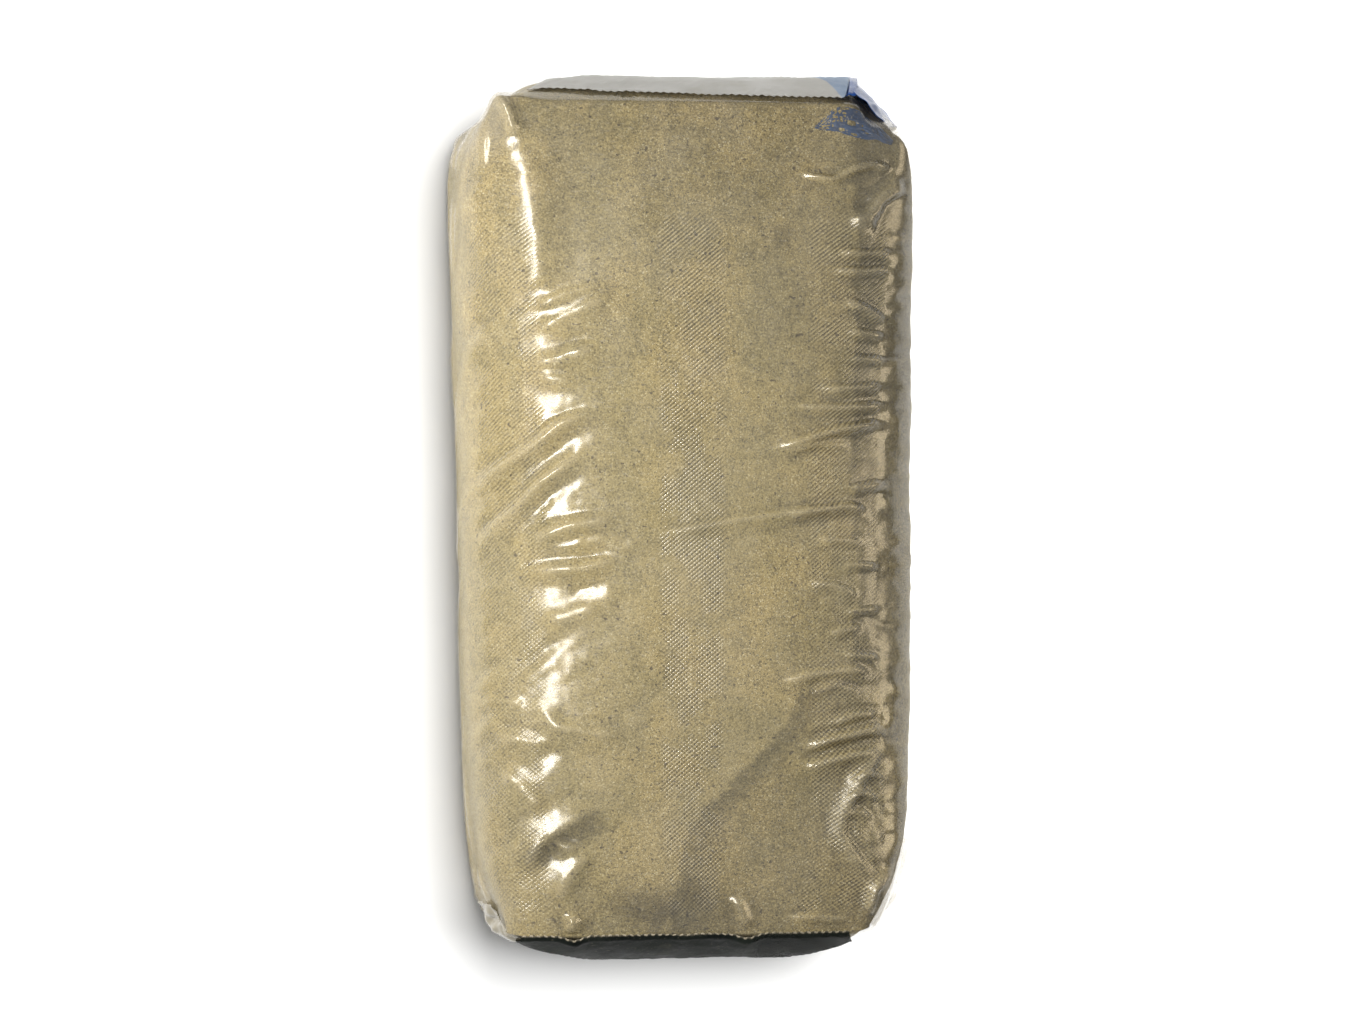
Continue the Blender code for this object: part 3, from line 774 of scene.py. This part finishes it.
def cover_sheet(name, end, span, high, slants, drop, lap, teeth, seed, rise):
    """A welded sheet with toothed long edges, given a wall by Solidify.

    slants cut its two ends askew. drop is how much lower its upper edge is at the left end than at the
    right. lap is how far that edge is folded over onto the upper face.
    """
    across = np.linspace(0.0, 1.0, teeth * STEPS_PER_TOOTH + 1)
    upward = np.sin(np.linspace(-np.pi / 2, np.pi / 2, 57))[:, None] / 2.0 + 0.5
    left, right = (limit + slant * (2.0 * upward - 1.0) ** 2 for limit, slant in zip(span, slants))
    x = left + (right - left) * across[None, :]
    tooth = TOOTH_DEPTH * zigzag(across * teeth)
    askew = drop * (0.6 * (1.0 - across) + 0.4 * smoothstep((0.22 - across) / 0.22))
    low, high = COVER_LOW + TOOTH_DEPTH - tooth, high - askew - (0.0 if lap else TOOTH_DEPTH - tooth)
    z = low + (high - low) * upward
    relief = 0.00012 * smooth_noise(z.shape, (9, 22), seed) + 0.00010 * smooth_noise(z.shape, (24, 64), seed + 1)
    loose = smoothstep((upward - 0.96) / 0.04) * (0.0003 + 0.0001 * smooth_noise(z.shape, (1, 16), seed + 2) ** 2)
    y = end * (RIM_Y + end_bulge(x, z, end) + 0.0009 + relief + loose + flap_ridges(x, z) + rise(x, z))
    if lap:
        y = y - end * (lap + 0.4 * tooth) * smoothstep((upward - 0.984) / 0.016)
    points = np.stack([x, y, z], axis=-1)
    faces = sheet_faces(*z.shape, turned=end > 0)
    item = finish_mesh(name, points.reshape(-1, 3), faces.tolist(), np.stack([x, -y if lap else z], -1).reshape(-1, 2))
    return give_wall(item, 0.0003, 1.0)


top_cover = cover_sheet(
    "top_cover", 1, (-0.077, SHEET_END), COVER_HIGH, (-0.017, SHEET_SLANT), 0.015, 0.0, 42, 21, over_sleeve
)
foot_cover = cover_sheet(
    "foot_cover", -1, (-0.104, 0.099), FOOT_HIGH, (0.005, -0.009), 0.0, FOOT_LAP, 50, 31, foot_puckers
)
print("cover sheets:", len(top_cover.data.polygons), "and", len(foot_cover.data.polygons), "faces")

# %% [markdown]
# ## Loose sheets through a few points
#
# A flap, a lip or a fold of film is a small curved sheet. Each is described by rails: lines of given
# points that run the same way. A smooth curve through each rail, and then a smooth curve across the
# rails, gives a grid of points with no corner in it.

# %% Sheets between rails


def smooth_through(points, count):
    """count points on a Catmull-Rom curve through the given ones, along the first axis."""
    points = np.asarray(points, dtype=float)
    padded = np.concatenate([2 * points[:1] - points[1:2], points, 2 * points[-1:] - points[-2:-1]])
    place = np.linspace(0.0, len(points) - 1.0, count)
    first = np.minimum(place.astype(int), len(points) - 2)
    t = (place - first).reshape((-1,) + (1,) * (points.ndim - 1))
    a, b, c, d = (padded[first + k] for k in range(4))
    return 0.5 * (2 * b + (c - a) * t + (2 * a - 5 * b + 4 * c - d) * t**2 + (3 * b - a - 3 * c + d) * t**3)


def railed_sheet(name, rails, along, across, crinkle, seed, thickness=0.0002):
    """A thin sheet through rails of points, crinkled by noise along its normals."""
    lines = np.stack([smooth_through(rail, along) for rail in rails])
    points = smooth_through(lines, across)
    down, over = np.gradient(points, axis=0), np.gradient(points, axis=1)
    normal = np.cross(over, down)
    normal /= np.maximum(np.linalg.norm(normal, axis=-1, keepdims=True), 1e-12)
    cells = (max(across // 6, 2), max(along // 6, 2))
    points = points + normal * (crinkle * smooth_noise(points.shape[:2], cells, seed))[..., None]
    s, t = np.meshgrid(np.linspace(0.0, 0.05, along), np.linspace(0.0, 0.03, across))
    faces = sheet_faces(across, along, turned=False)
    item = finish_mesh(name, points.reshape(-1, 3), faces.tolist(), np.stack([s, t], -1).reshape(-1, 2))
    return give_wall(item, thickness, 0.0)


# %% [markdown]
# ## The valve sleeve
#
# A sack like this is filled through a flat sleeve of blue film in one corner. From outside, its outer
# wall shows as a strip past the end of the cover sheet. Its inner wall goes on round the corner as a
# lip that stands off the film, and the dark gap between the lip and the film is the way in. Its other
# end is a tongue inside the sack, pressed against the clear film of the upper face by the sand.

# %% Valve sleeve
SLEEVE_LOW, SLEEVE_HIGH = (0.014, 0.1290)


def valve_wall(name):
    """The sleeve's outer wall: under the cover sheet, and a strip past its end."""
    across = np.linspace(0.0, 1.0, 34)[None, :]
    z = np.linspace(SLEEVE_LOW, SLEEVE_HIGH, 46)[:, None]
    sheet_end = SHEET_END + SHEET_SLANT * ((z - MIDDLE_Z) / (COVER_HIGH - MIDDLE_Z)) ** 2
    left = SLEEVE_EDGE - SLEEVE_SLANT * (0.133 - z)
    x = left + (sheet_end + 0.0052 - left) * across
    z, past = np.broadcast_to(z, x.shape), x - sheet_end
    y = RIM_Y + end_bulge(x - np.maximum(past, 0.0), z, 1) + over_sleeve(x - np.maximum(past, 0.0), z) + 0.0003
    y = y + 0.0012 * smoothstep(past / 0.0015) - 0.20 * np.maximum(past - 0.0005, 0.0)
    y = y + 0.0002 * smooth_noise(x.shape, (12, 8), 44)
    points = np.stack([x, y, z], axis=-1)
    faces = sheet_faces(*z.shape, turned=True)
    item = finish_mesh(name, points.reshape(-1, 3), faces.tolist(), points[..., [0, 2]].reshape(-1, 2))
    return give_wall(item, 0.0002, 0.0)


valve_sleeve = valve_wall("valve_sleeve_wall")
valve_lip = railed_sheet(
    "valve_sleeve_lip",
    (
        ((0.0935, 0.2470, 0.1280), (0.1005, 0.2408, 0.1300), (0.1070, 0.2338, 0.1300), (0.1150, 0.2262, 0.1270)),
        ((0.0994, 0.2518, 0.1080), (0.1075, 0.2445, 0.1090), (0.1152, 0.2372, 0.1080), (0.1232, 0.2288, 0.1050)),
        ((0.1025, 0.2575, 0.0750), (0.1112, 0.2488, 0.0750), (0.1195, 0.2405, 0.0750), (0.1275, 0.2300, 0.0740)),
        ((0.1000, 0.2510, 0.0300), (0.1080, 0.2430, 0.0300), (0.1155, 0.2350, 0.0300), (0.1220, 0.2265, 0.0300)),
    ),
    along=40,
    across=44,
    crinkle=0.0004,
    seed=61,
)


# %% Valve tongue under the film
def on_film(x, y):
    """The film's points over places (x, y) of the upper face, and its normals there.

    Both are means over the grid points nearby, weighted by one over the distance to the fourth power.
    """
    near = (normals[..., 2] > 0.15) & (film[..., 0] > x.min() - 0.01) & (film[..., 1] > y.min() - 0.01)
    points, directions = film[near], normals[near]
    weight = ((x[..., None] - points[:, 0]) ** 2 + (y[..., None] - points[:, 1]) ** 2 + 1e-8) ** -2
    weight /= weight.sum(axis=-1, keepdims=True)
    return np.stack([x, y, weight @ points[:, 2]], axis=-1), weight @ directions


def under_film(name, lower, upper, depth, seed):
    """A crumpled sheet just under the upper face's film, between two lines of places (x, y)."""
    lines = np.stack([smooth_through(line, 60) for line in (lower, upper)])
    s, t = np.meshgrid(np.linspace(0.0, 1.0, 60), np.linspace(0.0, 1.0, 34))
    x, y = ((1 - t) * lines[0, :, k] + t * lines[1, :, k] for k in (0, 1))
    y = y + 0.0005 * smooth_noise(y.shape, (1, 9), seed) * (1 - t)
    points, directions = on_film(x, y)
    crinkle = 0.0007 * np.abs(smooth_noise(y.shape, (12, 22), seed + 1))
    points = points - directions * (depth + crinkle)[..., None]
    faces = sheet_faces(*y.shape, turned=False)
    item = finish_mesh(name, points.reshape(-1, 3), faces.tolist(), np.stack([s, t], -1).reshape(-1, 2) * 0.05)
    return give_wall(item, 0.0002, 0.0)


valve_tongue = under_film(
    "valve_sleeve_tongue",
    lower=((0.0696, 0.2248), (0.0798, 0.2228), (0.0910, 0.2205), (0.1035, 0.2180), (0.1150, 0.2160)),
    upper=((0.0700, 0.2256), (0.0765, 0.2315), (0.0832, 0.2368), (0.0950, 0.2358), (0.1060, 0.2290), (0.1160, 0.2180)),
    depth=0.0004,
    seed=51,
)

# %% [markdown]
# ## Folded corners
#
# Where the tube is folded square, spare film is left over at the corners and lies against the sack in
# small clear folds. They are loose sheets of the same film.

# %% Folds of spare film
film_folds = [
    railed_sheet(
        "film_fold_valve_corner",
        (
            ((0.1100, 0.2290, 0.1330), (0.1170, 0.2200, 0.1330), (0.1210, 0.2100, 0.1310), (0.1240, 0.1990, 0.1270)),
            ((0.1205, 0.2310, 0.1080), (0.1270, 0.2200, 0.1070), (0.1315, 0.2110, 0.1050), (0.1335, 0.1990, 0.1030)),
            ((0.1225, 0.2320, 0.0780), (0.1295, 0.2210, 0.0760), (0.1335, 0.2110, 0.0740), (0.1345, 0.2010, 0.0720)),
        ),
        along=36,
        across=30,
        crinkle=0.0007,
        seed=71,
    ),
    railed_sheet(
        "film_fold_foot_right",
        (
            ((0.1250, -0.1850, 0.1230), (0.1215, -0.2050, 0.1250), (0.1160, -0.2210, 0.1270), (0.1080, -0.2380, 0.1290)),
            ((0.1312, -0.1880, 0.1040), (0.1272, -0.2060, 0.1040), (0.1225, -0.2210, 0.1040), (0.1125, -0.2405, 0.1050)),
            ((0.1322, -0.1900, 0.0780), (0.1282, -0.2070, 0.0770), (0.1235, -0.2220, 0.0760), (0.1140, -0.2420, 0.0750)),
        ),
        along=40,
        across=30,
        crinkle=0.0007,
        seed=73,
    ),
    railed_sheet(
        "film_fold_foot_left",
        (
            ((-0.1135, -0.2215, 0.1210), (-0.1110, -0.2290, 0.1240), (-0.1060, -0.2360, 0.1260), (-0.0950, -0.2405, 0.1275)),
            ((-0.1185, -0.2225, 0.1040), (-0.1155, -0.2320, 0.1050), (-0.1095, -0.2400, 0.1060), (-0.0975, -0.2450, 0.1060)),
            ((-0.1195, -0.2240, 0.0780), (-0.1165, -0.2335, 0.0780), (-0.1105, -0.2415, 0.0780), (-0.0985, -0.2470, 0.0780)),
        ),
        along=40,
        across=30,
        crinkle=0.0016,
        seed=75,
    ),
    railed_sheet(
        "film_fold_top_left",
        (
            ((-0.1110, 0.2440, 0.1340), (-0.1140, 0.2370, 0.1280), (-0.1190, 0.2270, 0.1130), (-0.1250, 0.2180, 0.0980)),
            ((-0.1110, 0.2440, 0.1150), (-0.1160, 0.2360, 0.1080), (-0.1235, 0.2260, 0.0940), (-0.1295, 0.2160, 0.0820)),
            ((-0.1080, 0.2430, 0.0800), (-0.1140, 0.2350, 0.0790), (-0.1230, 0.2250, 0.0740), (-0.1300, 0.2150, 0.0700)),
        ),
        along=36,
        across=30,
        crinkle=0.0005,
        seed=77,
    ),
]
for fold, dust in zip(film_folds, (0.04, 0.10, 0.90, 0.08)):
    give_field(fold, "dusty", np.full(len(fold.data.vertices), dust))
print(len(film_folds), "folds of spare film")

# %% [markdown]
# ## Writing materials as sums
#
# A node tree is easier to read as arithmetic. The class below wraps one output socket, and its
# operators add Math nodes, so that `1 - mask` or `grain * 0.5 + 0.2` build themselves. Every other
# kind of node comes from one method, which takes the node's type, its settings and its sockets.

# %% Shader helper


class Signal:
    """One output socket of a material, with arithmetic."""

    def __init__(self, tree, socket):
        self.tree = tree
        self.socket = socket

    def math(self, operation, first, second=0.0):
        return self.node("ShaderNodeMath", {"operation": operation}, {0: first, 1: second})

    def node(self, kind, settings=None, sockets=None, output=0):
        """A new node in the same material, returned as the Signal of one of its outputs."""
        made = self.tree.nodes.new(kind)
        for name, value in (settings or {}).items():
            if name == "stops":
                set_stops(made.color_ramp, value)
            else:
                setattr(made, name, value)
        for name, value in (sockets or {}).items():
            if isinstance(value, Signal):
                self.tree.links.new(value.socket, made.inputs[name])
            else:
                made.inputs[name].default_value = value
        return Signal(self.tree, made.outputs[output])

    def __add__(self, other):
        return self.math("ADD", self, other)

    def __sub__(self, other):
        return self.math("SUBTRACT", self, other)

    def __mul__(self, other):
        return self.math("MULTIPLY", self, other)

    def __truediv__(self, other):
        return self.math("DIVIDE", self, other)

    def __pow__(self, other):
        return self.math("POWER", self, other)

    def __radd__(self, other):
        return self.math("ADD", other, self)

    def __rsub__(self, other):
        return self.math("SUBTRACT", other, self)

    def __rmul__(self, other):
        return self.math("MULTIPLY", other, self)

    def __rtruediv__(self, other):
        return self.math("DIVIDE", other, self)

    def function(self, operation):
        """A one-sided Math operation such as SINE, ABSOLUTE or SQRT."""
        return self.math(operation, self)

    def steps(self, low, high, start=0.0, end=1.0):
        """Maps low..high smoothly to start..end, and holds the ends beyond."""
        sockets = {"Value": self, "From Min": low, "From Max": high, "To Min": start, "To Max": end}
        return self.node("ShaderNodeMapRange", {"interpolation_type": "SMOOTHSTEP"}, sockets)

    def blend(self, first, second):
        """A colour between two colours or Signals, by this share."""
        made = self.tree.nodes.new("ShaderNodeMix")
        made.data_type = "RGBA"
        self.tree.links.new(self.socket, made.inputs[0])
        for socket, value in ((made.inputs[6], first), (made.inputs[7], second)):
            if isinstance(value, Signal):
                self.tree.links.new(value.socket, socket)
            else:
                socket.default_value = (*value, 1.0)
        return Signal(self.tree, made.outputs[2])

    def noise(self, scale, detail=2.0, roughness=0.5, output=0):
        """Noise over this vector, about 0.5 in the mean."""
        sockets = {"Vector": self, "Scale": scale, "Detail": detail, "Roughness": roughness}
        return self.node("ShaderNodeTexNoise", {}, sockets, output)

    def field(self, name):
        """A number that the mesh carries as an attribute."""
        return self.node("ShaderNodeAttribute", {"attribute_name": name}, {}, "Fac")

    def part(self, axis):
        """One number, X, Y or Z, of this vector."""
        return self.node("ShaderNodeSeparateXYZ", {}, {0: self}, "XYZ".index(axis))

    def stretched(self, x, y, z):
        """This vector with its three numbers multiplied."""
        return self.node("ShaderNodeVectorMath", {"operation": "MULTIPLY"}, {0: self, 1: (x, y, z)})


def set_stops(ramp, stops):
    """Puts (position, colour) stops on a colour ramp."""
    while len(ramp.elements) > 1:
        ramp.elements.remove(ramp.elements[-1])
    for number, (position, colour) in enumerate(stops):
        element = ramp.elements[0] if number == 0 else ramp.elements.new(position)
        element.position = position
        element.color = (*colour, 1.0)


def start_material(name):
    """A material with only a Principled shader and its output, and the Signal of its coordinates."""
    material = bpy.data.materials.new(name)
    material.use_nodes = True
    tree = material.node_tree
    shader = tree.nodes["Principled BSDF"]
    place = tree.nodes.new("ShaderNodeTexCoord")
    return material, shader, Signal(tree, place.outputs["Object"]), Signal(tree, place.outputs["UV"])


def feed(shader, **sockets):
    """Links or sets a shader's sockets. An underscore stands for a space."""
    for name, value in sockets.items():
        socket = shader.inputs[name.replace("_", " ")]
        if isinstance(value, Signal):
            value.tree.links.new(value.socket, socket)
        else:
            socket.default_value = value


def relief(height, distance, strength=1.0, under=None):
    """A normal from a height Signal: distance is how many metres a height of 1 stands up."""
    sockets = {"Height": height, "Distance": distance, "Strength": strength}
    if under is not None:
        sockets["Normal"] = under
    return height.node("ShaderNodeBump", {}, sockets)


# %% [markdown]
# ## Quartz sand
#
# Dry quartz sand is a pale yellow-brown of many sorts of grain: mostly clear and honey-coloured
# quartz, with a few dark minerals and a few white ones. A Voronoi pattern with cells the size of a
# grain gives each grain its own brightness, and noise at three larger sizes gives the drifts of finer
# and coarser sand. Towards one corner of the foot the sand is damp, and a shade darker. Above the foot
# and towards the valve corner it is darker again as painted shade, and in the creases and the embossed
# bands it carries painted shade and painted light.

# %% The embossed bands
DIAMOND = 0.0025


def embossing(uv):
    """Ribs and grooves of the embossed bands, 0 to 1, in metres round and along the film.

    They are sines across lines that rise to the right, and fainter ones across lines that fall. The
    second kind gains towards the foot, where the bands look like diamonds.
    """
    u, v = uv.part("X"), uv.part("Y")
    turn = 2.0 * np.pi / DIAMOND
    rising = ((v - u * 0.84) * turn).function("SINE")
    falling = ((v + u * 0.84) * turn).function("SINE")
    crossing = v.steps(-0.14, 0.06, 0.75, 0.20)
    wave = (rising + falling * crossing) / (1.0 + 0.6 * crossing)
    share = uv.field("embossed")
    return wave.steps(0.00, 0.70) * share, (0.0 - wave).steps(0.00, 0.60) * share


# %% Sand material
GRAIN = 0.00055


def sand_material():
    material, shader, place, uv = start_material("quartz_sand")
    grains = place.node("ShaderNodeTexVoronoi", {}, {"Vector": place, "Scale": 1.0 / GRAIN}, "Color")
    sort = grains.node("ShaderNodeSeparateColor", {}, {0: grains}, 0)
    grain_colours = (
        (0.00, (0.050, 0.042, 0.026)),
        (0.035, (0.150, 0.120, 0.062)),
        (0.12, (0.268, 0.200, 0.080)),
        (0.60, (0.362, 0.276, 0.112)),
        (0.92, (0.450, 0.356, 0.164)),
        (1.00, (0.640, 0.560, 0.350)),
    )
    colour = sort.node("ShaderNodeValToRGB", {"stops": grain_colours}, {0: sort})
    patches, standoff = place.field("patches"), place.field("standoff")
    streaks = place.noise(150.0, 2.0, 0.6).steps(0.30, 0.72)
    fine = place.noise(760.0, 1.0, 0.75)
    colour = (0.35 * place.field("drift")).blend(colour, (0.292, 0.240, 0.112))
    colour = (0.24 * (1.0 - patches)).blend(colour, (0.205, 0.180, 0.092))
    specks = place.noise(420.0, 0.0).steps(0.775, 0.800)
    colour = (0.75 * specks).blend(colour, (0.060, 0.044, 0.026))
    ribs, grooves = embossing(uv)
    shade = 0.80 + 0.08 * patches + 0.22 * streaks + 1.50 * (fine - 0.5)
    # Painted shade and light: standoff lightens the sand on crease tops and darkens it in crease hollows, and grooves
    # darken and ribs lighten it, as the film's embossing throws shade and light on it.
    # The damp field darkens the sand where it is wet and, above the foot and towards the valve corner, as painted
    # shade.
    shade = shade * (1.0 - place.field("damp_and_shade")) * (1.0 - 0.46 * grooves + 0.50 * ribs) * (1.0 + 0.22 * standoff)
    feed(shader, Base_Color=shade.blend((0.0, 0.0, 0.0), colour), Roughness=0.92)
    shader.inputs["Specular IOR Level"].default_value = 0.25
    feed(shader, Normal=relief(fine * 1.0 + streaks * 0.5 - grooves * 0.5, 0.0007, 0.7))
    return material


sand_fill.data.materials.append(sand_material())
print("sand grains", GRAIN * 1000, "mm across")

# %% [markdown]
# ## Clear film
#
# Clear film is mostly a window. Each point of it does three things: it passes what is behind it, it
# scatters a little light as a pale haze, and it mirrors lights, more so at a slant. One Transparent
# shader does the first. One Principled shader does the other two: as a metal it mirrors, as a plastic
# it scatters. The share of the mirror comes from Schlick's rule, about 8% head-on for the two sides of
# a film, and the Metallic value is the mirror's part of all that isn't passed.
#
# Three bands of small diamonds are embossed along the film to keep stacked sacks from sliding. They
# are crossed ribs, and follow the film's own coordinates.

# %% Film material


def film_material(name, haze_colour, dust_colour, haze, mirror):
    material, shader, place, uv = start_material(name)
    tree = material.node_tree
    ribs, grooves = embossing(uv)
    cloudy, dusty = uv.field("cloudy"), uv.field("dusty")
    scuff = uv.stretched(1.0, 3.0, 1.0).noise(220.0, 0.0).steps(0.60, 0.80)
    slant = place.node("ShaderNodeLayerWeight", {}, {"Blend": 0.5}, "Facing") ** 4.0
    gloss = mirror + 0.08 * slant
    scatter = haze * (0.5 + cloudy) + 0.04 * ribs + 0.05 * scuff + 0.02 * slant + dusty
    scatter = scatter + 0.05 * uv.field("standoff").steps(0.2, 1.0)
    kept = 1.0 - (1.0 - gloss) * (1.0 - scatter)
    feed(
        shader,
        Base_Color=(gloss / kept).blend((1.8 * dusty).blend(haze_colour, dust_colour), (1.0, 1.0, 1.0)),
        Metallic=gloss / kept,
        Roughness=0.13 + 0.15 * cloudy + 0.10 * scuff + 0.12 * ribs,
        Normal=relief(uv.noise(170.0, 0.0) * 0.8 + (ribs - grooves) * 0.26, 0.0006, 0.50),
    )
    clear = tree.nodes.new("ShaderNodeBsdfTransparent")
    mix = tree.nodes.new("ShaderNodeMixShader")
    tree.links.new(kept.socket, mix.inputs[0])
    tree.links.new(clear.outputs[0], mix.inputs[1])
    tree.links.new(shader.outputs[0], mix.inputs[2])
    tree.links.new(mix.outputs[0], tree.nodes["Material Output"].inputs["Surface"])
    return material


clear_film = film_material("clear_film", (0.74, 0.62, 0.38), (0.19, 0.155, 0.078), 0.045, 0.085)
for piece in (film_sack, *film_folds):
    piece.data.materials.append(clear_film)
print("film: bands of", DIAMOND * 1000, "mm diamonds")

# %% [markdown]
# ## The other films
#
# The valve end's sheet is milky white and lets the blue sleeve show faintly. The foot's sheet is
# translucent, painted nearly black as shade because that end lies in shadow, and a little clearer
# towards its right end. The sleeve is a strong blue, crinkled and glossy.
# All three are thin plastic with dust from filling on them, so they share one recipe.

# %% Sheet materials


def sheet_material(name, colours, passed, gloss, crinkle, dust, edge=0.0, sleeve=0.0, clearer=0.0):
    """Film of two close colours, with dust in its creases. passed is how much shows through.

    edge is how much paler its upper teeth are, a painted highlight where they catch the light. sleeve is how
    strongly the blue sleeve tints it, past the slanting line where the sleeve ends. clearer is how much
    more shows through its right end.
    """
    material, shader, place, uv = start_material(name)
    cloudy = place.noise(38.0, 4.0, 0.6).steps(0.32, 0.70)
    speckle = place.noise(420.0, 3.0, 0.6).steps(0.60, 0.72)
    stain = place.noise(17.0, 5.0, 0.7).steps(0.56, 0.74)
    colour = cloudy.blend(*colours)
    if sleeve:
        past = place.part("X") - SLEEVE_EDGE - (place.part("Z") - 0.133) * SLEEVE_SLANT
        colour = (past.steps(-0.0008, 0.0008) * sleeve).blend(colour, (0.16, 0.27, 0.44))
    colour = (stain * dust).blend(colour, (0.36, 0.32, 0.22))
    colour = (speckle * dust).blend(colour, (0.42, 0.37, 0.26))
    if edge:
        # Painted highlight: the upper teeth are paler in dashes, as where they catch the light.
        teeth = place.part("Z").steps(FOOT_HIGH - 0.0006, FOOT_HIGH - 0.0001) * edge
        lit_teeth = (place.part("X") * (2.0 * np.pi / 0.0041)).function("SINE").steps(-0.3, 0.5, 0.25, 1.0)
        colour = (teeth * lit_teeth).blend(colour, (0.50, 0.43, 0.31))
    creases = uv.noise(90.0, 4.0, 0.55) + uv.noise(340.0, 2.0) * 0.25
    feed(
        shader,
        Base_Color=colour,
        Roughness=gloss + 0.18 * cloudy + 0.2 * stain * dust,
        Alpha=1.0 - passed * (0.6 + 0.8 * cloudy) - clearer * place.part("X").steps(0.028, 0.050) * (0.5 + 0.5 * stain),
        Normal=relief(creases, crinkle, 0.7),
    )
    return material


top_cover.data.materials.append(
    sheet_material("white_film", ((0.40, 0.385, 0.345), (0.50, 0.485, 0.44)), 0.18, 0.42, 0.0009, 0.34, sleeve=0.85)
)
# The foot's sheet is painted nearly black: painted shade for the end of the sack that lies in shadow.
shaded_foot_film = sheet_material(
    "smoky_film", ((0.007, 0.009, 0.008), (0.020, 0.024, 0.019)), 0.02, 0.50, 0.0016, 0.11, edge=0.9, clearer=0.45
)
shaded_foot_film.node_tree.nodes["Principled BSDF"].inputs["Specular IOR Level"].default_value = 0.04
foot_cover.data.materials.append(shaded_foot_film)
blue = sheet_material("blue_film", ((0.008, 0.040, 0.160), (0.018, 0.080, 0.300)), 0.03, 0.24, 0.0020, 0.20)
for piece in (valve_sleeve, valve_lip):
    piece.data.materials.append(blue)
valve_tongue.data.materials.append(
    sheet_material("dusty_blue_film", ((0.010, 0.026, 0.066), (0.024, 0.062, 0.140)), 0.03, 0.30, 0.0024, 0.75)
)

# %% [markdown]
# ## Floor, light and camera
#
# The sack lies on a plain pale floor. The photograph is a product shot: its light is close by on the
# left, its ground is almost white, and the soft shadow falls to the left and below. One light can't do
# both. So the key and two long strips light only the sack, and a panel from the upper right lights only
# the floor, which light linking allows. The strips draw the streaks on the shoulders. The camera is
# 2 m up and a little to the left, looking down.

# %% Floor
bpy.ops.mesh.primitive_plane_add(size=6.0)
floor = bpy.context.object
floor.name = "floor"
floor_material, floor_shader, floor_place, _ = start_material("floor_paint")
feed(floor_shader, Base_Color=floor_place.noise(3.0).blend((0.90, 0.90, 0.89), (0.93, 0.93, 0.92)), Roughness=0.8)
floor.data.materials.append(floor_material)


# %% Lights
def aim(place, target, up=Vector((0.0, 1.0, 0.0))):
    """A matrix at place whose -Z looks at target and whose Y is as near to up as it can be."""
    ahead = (Vector(target) - Vector(place)).normalized()
    right = ahead.cross(up).normalized()
    turned = Matrix((right, right.cross(ahead), -ahead)).transposed()
    return Matrix.Translation(place) @ turned.to_4x4()


def panel(name, place, across, along, power, lit):
    """A soft rectangular panel aimed at the sack, its second side as near to Y as it can be."""
    light = bpy.data.lights.new(name, "AREA")
    light.shape = "RECTANGLE"
    light.size = across
    light.size_y = along
    light.energy = power
    item = bpy.data.objects.new(name, light)
    item.matrix_world = aim(place, (0.0, 0.0, 0.05))
    bpy.context.scene.collection.objects.link(item)
    item.light_linking.receiver_collection = lit
    return item


def lit_group(name, items):
    """A collection of the things that a light lights. It isn't part of the scene itself."""
    group = bpy.data.collections.new(name)
    for item in items:
        group.objects.link(item)
    return group


sack_pieces = (film_sack, sand_fill, top_cover, foot_cover, valve_sleeve, valve_lip, valve_tongue, *film_folds)
on_sack, on_floor = lit_group("lit_sack", sack_pieces), lit_group("lit_floor", [floor])
key = panel("key", (-0.41, 0.08, 0.55), 0.22, 0.28, 3.6, on_sack)
key.visible_glossy = False
streak = panel("streak", (-0.42, 0.16, 1.05), 0.19, 0.72, 7.4, on_sack)
rim = panel("rim", (1.05, 0.05, 0.62), 0.45, 1.10, 6.0, on_sack)
rim.data.color = (1.0, 0.86, 0.62)
rim.visible_diffuse = False
ground = panel("ground", (0.20, 0.22, 1.50), 0.90, 0.90, 50.0, on_floor)
sky = bpy.data.worlds.new("sky")
bpy.context.scene.world = sky
sky.use_nodes = True
sky.node_tree.nodes["Background"].inputs["Color"].default_value = (1.0, 1.0, 1.0, 1.0)
sky.node_tree.nodes["Background"].inputs["Strength"].default_value = 0.205
bpy.context.scene.view_settings.view_transform = "Standard"

# %% Camera
lens = bpy.data.cameras.new("camera")
lens.sensor_width = 36.0
lens.lens = 90.0
camera = bpy.data.objects.new("camera", lens)
camera.matrix_world = aim(CAMERA, AIM)
bpy.context.scene.collection.objects.link(camera)
bpy.context.scene.camera = camera
print("camera at", camera.matrix_world.translation[:])

# %% [markdown]
# ## Putting the pieces in their places
#
# Each piece says which solid it stands for, which finish it shows and what it moves with. Nothing here
# moves by itself, so all pieces ride on the one body.

# %% Pieces
PIECES = (
    (film_sack, "film_sack", "clear_film"),
    (sand_fill, "sand_fill", "quartz_sand"),
    (top_cover, "top_cover_sheet", "white_film"),
    (foot_cover, "foot_cover_sheet", "smoky_film"),
    (valve_sleeve, "valve_sleeve", "blue_film"),
    (valve_lip, "valve_sleeve", "blue_film"),
    (valve_tongue, "valve_sleeve", "blue_film"),
    *((fold, "film_sack", "clear_film") for fold in film_folds),
)
for piece, node, finish in PIECES:
    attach(piece, "root")
    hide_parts(node)
